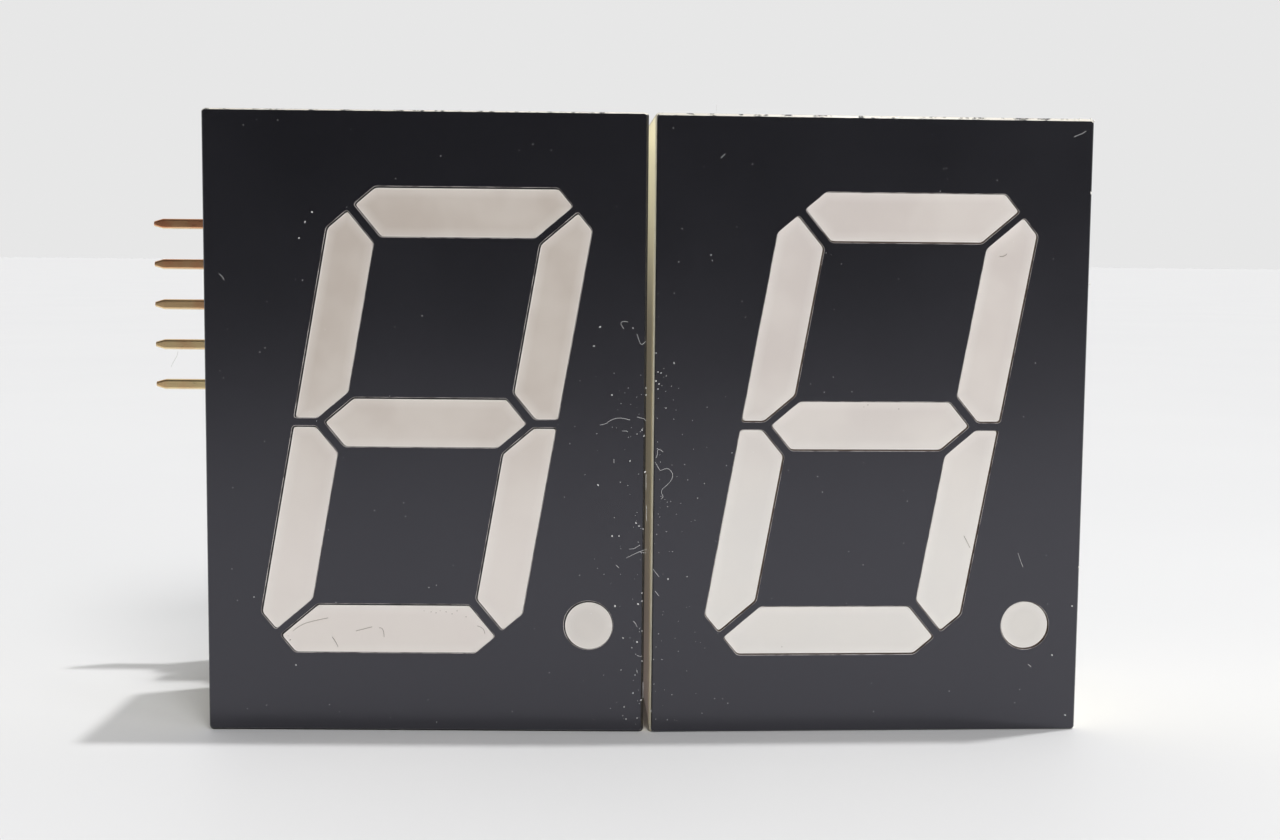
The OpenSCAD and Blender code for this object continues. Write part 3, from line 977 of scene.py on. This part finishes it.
def soldered_end(bm, low, high, way, rise):
    """A pad under the box of a metal end, and a wedge of solder on the end that faces this way along Z."""
    tip = high.z if way > 0 else low.z
    toe = tip + way * WEDGE_RUN
    floor_y = board_high.y
    z_low, z_high = sorted((toe + way * PAD_MARGIN, low.z if way > 0 else high.z))
    pad_low = Vector((low.x - PAD_MARGIN, floor_y, z_low))
    pad_high = Vector((high.x + PAD_MARGIN, floor_y + PAD_T, z_high))
    slab(bm, pad_low, pad_high)
    wedge_low = Vector((low.x, floor_y, min(tip, toe)))
    wedge_high = Vector((high.x, floor_y + rise, max(tip, toe)))
    for v in slab(bm, wedge_low, wedge_high):
        if v.co.y > floor_y + rise / 2 and abs(v.co.z - toe) < NEAR:
            v.co.y = floor_y + PAD_T


ends = {"resistor_ends": solids_in("resistor_ends"), "capacitor_ends": solids_in("capacitor_ends")}
for boxes in ends.values():
    for low, high in boxes:
        column = [box for box in boxes if abs(box[0].x - low.x) < NEAR]
        is_upper = any(0 < low.z - box[0].z < PART_LENGTH for box in column)
        soldered_end(pads, low, high, 1 if is_upper else -1, WEDGE_RISE * (high.y - board_high.y))
feet = {side: solids_in(f"{side}_driver_leads") for side in SIDES}
for side in SIDES:
    driver_low = box_of(f"{side}_driver_body")[0]
    for low, high in feet[side]:
        way = 1 if low.z > driver_low.z + FOOT else -1
        near_end = Vector((low.x, low.y, high.z - FOOT)) if way > 0 else low
        far_end = high if way > 0 else Vector((high.x, high.y, low.z + FOOT))
        soldered_end(pads, near_end, far_end, way, FOOT_RISE)
closed_up(pads)
add_piece("solder_pads", pads, [tin], "solder")

# %% [markdown]
# Tracks, printed lines, fibres and hairs are all thin strokes along a path. A bmesh could sweep a circle
# along each, but a curve with a round bevel gives mitred corners by itself, so every stroke starts as a
# curve and is made a mesh.

# %% Strokes along paths


def tubes(name, paths, radius, smooth=False):
    """A mesh of round tubes along lists of points."""
    curve = bpy.data.curves.new(name, "CURVE")
    curve.dimensions = "3D"
    curve.bevel_depth = radius
    curve.bevel_resolution = 1
    curve.resolution_u = 4
    curve.use_fill_caps = True
    for path in paths:
        spline = curve.splines.new("NURBS" if smooth else "POLY")
        spline.points.add(len(path) - 1)
        for point, place in zip(spline.points, path):
            point.co = (*place, 1)
        spline.use_endpoint_u = True
        spline.order_u = 3
    holder = bpy.data.objects.new(name, curve)
    mesh = bpy.data.meshes.new_from_object(holder)
    bm = bmesh.new()
    bm.from_mesh(mesh)
    bpy.data.objects.remove(holder)
    bpy.data.curves.remove(curve)
    bpy.data.meshes.remove(mesh)
    closed_up(bm)
    return bm


# %% [markdown]
# Copper tracks run under the mask, and the mask follows them as low ridges. The leads of each driver go
# to the resistors beside it and on to the pins of the display, and two wide rails bring the supply from
# the header to the capacitors. The tubes are squashed flat onto the board, which keeps their mitred
# corners.

# %% Tracks under the mask
TRACK = 0.14 * MM
POWER = 0.34 * MM
TRACK_FLAT = 0.12
RAIL_IN = 0.9 * MM
RAIL_START = 0.9
NEIGHBOUR = 5 * MM
LEADS_USED = (0, 2, 5, 7)
PINS_USED = (0, 1, 3, 4)


def on_board(path):
    """A path of X and Z pairs, laid on the back face of the board."""
    return [Vector((x, board_high.y, z)) for x, z in path]


def flattened(bm, share):
    """Squashes a mesh towards the back face of the board."""
    to_board = Matrix.Translation((0, -board_high.y, 0))
    bmesh.ops.scale(bm, vec=(1, share, 1), space=to_board, verts=bm.verts)
    for face in bm.faces:
        face.smooth = True
    return bm


def dogleg(start, end):
    """Two upright runs joined by a slanting one, the way tracks are drawn."""
    middle = (start[1] + end[1]) / 2
    half = abs(end[0] - start[0]) / 2
    way = 1 if end[1] > start[1] else -1
    return [start, (start[0], middle - way * half), (end[0], middle + way * half), end]


def middle_of(box):
    """The X and Z of the middle of a box."""
    return ((box[0].x + box[1].x) / 2, (box[0].z + box[1].z) / 2)


paths = []
for side in SIDES:
    pins = [middle_of(box) for box in solids_in(f"{side}_pin_solder")]
    centre_x, centre_z = middle_of(box_of(f"{side}_driver_body"))
    for way in (1, -1):
        row = sorted(p for p in pins if (p[1] - centre_z) * way > 0)
        leads = sorted(middle_of(box) for box in feet[side])
        leads = [lead for lead in leads if (lead[1] - centre_z) * way > 0]
        stops = [middle_of(box) for box in ends["resistor_ends"]]
        stops = [p for p in stops if abs(p[0] - centre_x) < NEIGHBOUR and (p[1] - centre_z) * way > 0]
        stops = sorted(stops, key=lambda p: abs(p[1] - centre_z))
        near_stops = sorted(stops[:4])
        far_stops = sorted(stops[4:])
        paths += [dogleg(leads[i], stop) for i, stop in zip(LEADS_USED, near_stops)]
        paths += [dogleg(stop, row[i]) for i, stop in zip(PINS_USED, far_stops)]
legs = [middle_of(box) for box in solids_in("header_solder")]
rails = []
for way, leg in ((1, max(legs, key=lambda p: p[1])), (-1, min(legs, key=lambda p: p[1]))):
    rail_z = board_high.z - RAIL_IN if way > 0 else board_low.z + RAIL_IN
    turn_z = rail_z - way * RAIL_IN
    caps = sorted(middle_of(box) for box in ends["capacitor_ends"])
    first, last = [c for c in caps if (c[1] - (board_low.z + board_high.z) / 2) * way > 0]
    start = (leg[0], leg[1] + way * RAIL_START * PAD)
    corner = [(leg[0], turn_z), (leg[0] + RAIL_IN, rail_z)]
    far_corner = [(last[0] - RAIL_IN, rail_z), (last[0], turn_z)]
    rails.append([start, *corner, *far_corner, last])
    rails.append([(first[0], rail_z), first])


def mask_on_copper(place):
    """Solder mask where it covers copper, which makes it paler."""
    weave = place.noise(0.5 * MM, 2)
    return {
        "Base Color": weave.mix(paint(36, 118, 68), paint(42, 128, 76)),
        "Roughness": 0.28 + 0.1 * weave,
        "Coat Weight": 0.4,
    }


mask_raised = finish("mask_on_copper", mask_on_copper)
for name, runs, radius in (("tracks", paths, TRACK), ("rails", rails, POWER)):
    ridges = tubes(name, [on_board(run) for run in runs], radius)
    add_piece(name, flattened(ridges, TRACK_FLAT * TRACK / radius), [mask_raised], "board")
    print(len(runs), name)

# %% [markdown]
# White outlines are screen printed on the board before the parts are placed. They frame the ends of each
# driver, the sides of each small part and the feet of the header, and a dot marks where the first lead
# goes. A mask in the board's material could draw them, but thin strokes stay crisp at any distance.

# %% Printed outlines
PRINT = 0.075 * MM
PRINT_FLAT = 0.12
PRINT_GAP = 0.35 * MM
PRINT_T = PRINT_FLAT * PRINT
DOT = 2.6 * PRINT
DOT_OUT = 2.4 * PRINT_GAP
HEADER_MARGIN = 1.1 * MM


def brackets(low, high, reach):
    """Two square brackets that hold a box between them, one at each end along X."""
    runs = []
    for x, way in ((low.x - PRINT_GAP, 1), (high.x + PRINT_GAP, -1)):
        turn_x = x + way * reach
        runs.append([(turn_x, low.z), (x, low.z), (x, high.z), (turn_x, high.z)])
    return runs


def printed_white(place):
    """White printing ink."""
    grain = place.noise(0.1 * MM, 2)
    return {"Base Color": grain.mix(paint(206, 206, 200), paint(228, 228, 224)), "Roughness": 0.6}


outlines = []
dots = bmesh.new()
for side in SIDES:
    low, high = box_of(f"{side}_driver_body")
    outlines += brackets(low, high, PRINT_GAP)
    dot_place = Vector((low.x - DOT_OUT, board_high.y, low.z - PRINT_GAP))
    turned(dots, dot_place, [(0, PRINT_T), (DOT, PRINT_T), (DOT, 0), (0, 0)])
for node in ("resistor_bodies", "capacitor_bodies"):
    for low, high in solids_in(node):
        outlines += brackets(low, high, 0)
strip_low, strip_high = box_of("header_strip")
feet_low = Vector((legs[0][0], 0, strip_low.z))
feet_high = Vector((legs[0][0] + HEADER_MARGIN, 0, strip_high.z))
# The header's own body stands where the left bracket would be, so only the right one is printed.
outlines += brackets(feet_low, feet_high, 2 * PRINT_GAP)[1:]
closed_up(dots)
print_white = finish("printed_white", printed_white)
printed = flattened(tubes("outlines", [on_board(run) for run in outlines], PRINT), PRINT_FLAT)
add_piece("printed_outlines", printed, [print_white], "board")
add_piece("printed_dots", dots, [print_white], "board")

# %% [markdown]
# Short fibres cling to the faces, most of all along the gap, and one hangs from a header pin. Hair
# particles could scatter them, but these lie where real ones lie: each is drawn along a few pixels of the
# photograph, laid on the face that those pixels show, and given the thickness of real lint.

# %% Lint
GAP_PIXEL = 651
LINT = 0.0095 * MM
LINT_PIXELS = {
    "small_hook": [(624, 329), (621, 325), (621, 322), (625, 321), (628, 322)],
    "leaning_fibre": [(637, 334), (639, 341), (642, 346), (646, 341)],
    "long_fibre": [(600, 425), (606, 424), (609, 421), (616, 418), (623, 418), (630, 420)],
    "short_fibre": [(637, 417), (641, 418), (645, 419), (646, 421)],
    "dash": [(622, 431), (627, 431)],
    "bent_hook": [(656, 458), (658, 454), (657, 450), (660, 449), (663, 452)],
    "loop": [(655, 462), (658, 467), (660, 471), (664, 469), (668, 468), (672, 472), (673, 476), (671, 481),
             (666, 486), (662, 489), (661, 493), (664, 497), (661, 499)],
    "upright_speck": [(614, 459), (614, 463)],
    "comb_high": [(629, 549), (633, 549), (637, 547), (640, 545)],
    "comb_low": [(626, 558), (634, 554), (641, 551), (647, 549)],
    "comb_end": [(640, 552), (646, 553)],
    "tick": [(616, 565), (619, 568)],
    "right_tick": [(653, 569), (659, 577)],
    "right_dash": [(655, 591), (659, 596)],
    "tick_by_point": [(633, 621), (636, 623), (637, 627)],
    "crumb": [(637, 655), (639, 657), (642, 656)],
    "edge_lint": [(643, 682), (643, 690), (643, 698)],
    "edge_lint_high": [(646, 474), (646, 482), (646, 490)],
    "edge_tangle": [(646, 505), (647, 511), (646, 516), (647, 521)],
    "far_dash": [(1018, 553), (1020, 560), (1023, 567)],
    "corner_scuff": [(1074, 137), (1078, 135), (1082, 134), (1086, 131)],
    "upper_scuff": [(721, 158), (725, 154)],
    "left_curl": [(219, 274), (222, 275), (224, 280)],
    "low_scratch": [(1028, 664), (1031, 667)],
    "top_hair": [(716, 113), (717, 108), (716, 104)],
}
HANGING_FIBRE = [(178, 351), (177, 357), (173, 362), (171, 367)]
fronts = {side: front_of(f"{side}_face_film") for side in SIDES}


def seen_on(pixel, spot, out):
    """The point of a plane that a pixel of the photograph shows."""
    across = pixel[0] - PHOTO_SIZE[0] / 2
    up = PHOTO_SIZE[1] / 2 - pixel[1]
    ray = camera.matrix_world.to_3x3() @ Vector((across, up, -FOCAL_PIXELS))
    return intersect_line_plane(EYE, EYE + ray, spot, out)


def on_face(pixel, lift):
    """The point of a display's face that a pixel shows, lifted off the face."""
    spot, out = fronts["left" if pixel[0] < GAP_PIXEL else "right"]
    return seen_on(pixel, spot, out) + out * lift


def pale_lint(place):
    """Pale textile fibre and dust."""
    shade = place.noise(0.3 * MM, 2)
    return {"Base Color": shade.mix(paint(222, 221, 219), paint(246, 246, 245)), "Roughness": 0.8}


lint = finish("pale_lint", pale_lint)
fibres = [[on_face(pixel, LINT) for pixel in pixels] for pixels in LINT_PIXELS.values()]
pin_low, pin_high = box_of("header_pin_4")
fibres.append([seen_on(pixel, (pin_low + pin_high) / 2, FRONT) for pixel in HANGING_FIBRE])
add_piece("lint", tubes("lint", fibres, LINT, smooth=True), [lint], "face_film")

# %% [markdown]
# Dust lies on the faces as well. A grain is a flattened low sphere, because hundreds of them have to stay
# light. Some are placed by pixels like the fibres. The rest are scattered by a seeded random generator,
# so every run gives the same grains: one half of them crowds towards the gap and the other half lies
# anywhere.

# %% Dust
SPECK = 0.048 * MM
GRAINS = 170
CROWD = 1.2 * MM
REACH = 23 * MM
DUST_MARGIN = 0.1 * MM
DUST_LOW = 0.4 * MM
CROWD_TOP = 20 * MM
DUST_TOP = 33.5 * MM
SPECK_PIXELS = [
    (633, 328), (656, 353), (658, 372), (661, 373), (656, 381), (646, 388), (646, 395), (612, 395),
    (666, 408), (674, 363), (642, 430), (637, 434), (644, 436), (630, 461), (645, 472), (636, 523),
    (639, 526), (643, 529), (619, 536), (612, 536), (598, 485), (668, 579), (615, 606), (623, 638),
    (637, 642), (642, 661), (637, 671), (624, 707), (637, 718), (651, 711), (312, 212), (305, 222),
    (299, 238), (254, 597), (296, 665), (711, 255), (1072, 606), (1052, 655), (1065, 715), (638, 604),
    (642, 593), (642, 601), (642, 631), (621, 670), (635, 675), (641, 700), (633, 693), (626, 719),
    (659, 384), (658, 389), (594, 346), (600, 327),
]
chance = random.Random(7)


def speck(bm, place, out, size):
    """A grain of dust that lies on a face, longer one way and flat."""
    length = size * chance.uniform(0.7, 1.6)
    width = size * chance.uniform(0.5, 1.0)
    shape = Matrix.Diagonal((length, 0.5 * size, width, 1))
    turn = Matrix.Rotation(chance.uniform(0, pi), 4, out)
    matrix = Matrix.Translation(place + out * 0.2 * size) @ turn @ shape
    bmesh.ops.create_icosphere(bm, subdivisions=1, radius=1, matrix=matrix)


dust = bmesh.new()
for pixel in SPECK_PIXELS:
    speck(dust, on_face(pixel, 0), fronts["left"][1], SPECK)
for side, inner in (("left", 1), ("right", -1)):
    low, high = box_of(f"{side}_face_film")
    spot, out = fronts[side]
    for number in range(GRAINS):
        near_gap = number % 2 == 0
        away = min(chance.expovariate(1 / CROWD), REACH) if near_gap else chance.uniform(0, REACH)
        x = high.x - DUST_MARGIN - away if inner > 0 else low.x + DUST_MARGIN + away
        z = chance.uniform(DUST_LOW, CROWD_TOP if near_gap else DUST_TOP)
        place = intersect_line_plane(Vector((x, -1, z)), Vector((x, 1, z)), spot, out)
        speck(dust, place, out, SPECK * chance.uniform(0.18, 0.5))
add_piece("dust", dust, [lint], "face_film")

# %% [markdown]
# Along the upper edges the black is chipped, and a broken bright line runs there: partly the pale body
# showing through, partly painted glints of the light from above. Cutting each chip out of the film would
# be slow and would hardly show, so small pale flakes lie on the edge instead. They are scattered along
# the upper edge of each film, in runs and with bare stretches between.

# %% Chipped edges and painted glints
FLAKE = 0.05 * MM
FLAKE_MARGIN = 0.2 * MM
BARE_STRETCH = 0.8 * MM
BARE_CHANCE = 0.06
CHIP_PIXELS = [(1090, 284), (1079, 567), (1091, 193), (1075, 119), (1080, 119), (1091, 119), (1094, 121)]


def bare_plastic_and_glint(place):
    """Pale plastic where the black is chipped off, whiter than the cream body: partly a painted glint."""
    shade = place.noise(0.2 * MM, 2)
    return {"Base Color": shade.mix(paint(226, 222, 212), paint(246, 244, 240)), "Roughness": 0.35}


flakes = bmesh.new()
for side in SIDES:
    spot, out = fronts[side]
    low, high = box_of(f"{side}_face_film")
    x = low.x + FLAKE_MARGIN
    while x < high.x - FLAKE_MARGIN:
        place = intersect_line_plane(Vector((x, -1, 0)), Vector((x, 1, 0)), spot, out)
        place.z = high.z - 0.5 * FILM_EDGE
        place -= out * 0.5 * FILM_EDGE
        long = FLAKE * chance.uniform(0.5, 3.0)
        tall = FLAKE * chance.uniform(0.25, 0.5)
        matrix = Matrix.Translation(place) @ Matrix.Diagonal((long, tall, tall, 1))
        bmesh.ops.create_icosphere(flakes, subdivisions=1, radius=1, matrix=matrix)
        x += long * chance.uniform(1.2, 4.5) + (BARE_STRETCH if chance.random() < BARE_CHANCE else 0)
for pixel in CHIP_PIXELS:
    speck(flakes, on_face(pixel, 0), fronts["right"][1], 1.3 * FLAKE)
add_piece("edge_flakes", flakes, [finish("bare_plastic_and_glint", bare_plastic_and_glint)], "housing_plastic")

# %% [markdown]
# A few dark hairs, scratches and grains of grime lie on the pale segments. They are drawn like the lint
# and the dust, on the resin, which lies a little deeper than the front of the film.

# %% Hairs and grime on the segments
HAIR = 0.011 * MM
FILM_PROUD = 0.03 * MM
RESIN_DEPTH = FILM_PROUD + 2 * SINK
HAIR_PIXELS = {
    "long_scratch": [(293, 631), (300, 625), (313, 621), (328, 618)],
    "lower_scratch": [(332, 637), (336, 642), (338, 647)],
    "mark": [(379, 628), (384, 627), (384, 637)],
    "curl": [(477, 626), (481, 627), (484, 630), (485, 634)],
    "slanting_scratch": [(964, 536), (967, 541), (970, 548)],
    "upper_mark": [(1000, 256), (1003, 258), (1007, 254)],
    "bar_mark": [(356, 631), (372, 627)],
}
GRIME_PIXELS = [
    (899, 409), (782, 647), (868, 405), (864, 407), (424, 611), (431, 612), (436, 613), (440, 611),
    (446, 612), (452, 614), (457, 611), (466, 617), (290, 640), (288, 636),
]


def dark_hair(place):
    """A brownish hair or scratch."""
    shade = place.noise(0.4 * MM, 2)
    return {"Base Color": shade.mix(paint(96, 84, 74), paint(150, 138, 126)), "Roughness": 0.6}


hair = finish("dark_hair", dark_hair)
hair_lift = HAIR - RESIN_DEPTH
hairs = [[on_face(pixel, hair_lift) for pixel in pixels] for pixels in HAIR_PIXELS.values()]
add_piece("segment_hairs", tubes("segment_hairs", hairs, HAIR, smooth=True), [hair], "segment_resin")
grime = bmesh.new()
for pixel in GRIME_PIXELS:
    side = "left" if pixel[0] < GAP_PIXEL else "right"
    speck(grime, on_face(pixel, -RESIN_DEPTH), fronts[side][1], SPECK * chance.uniform(0.45, 0.8))
add_piece("segment_grime", grime, [hair], "segment_resin")
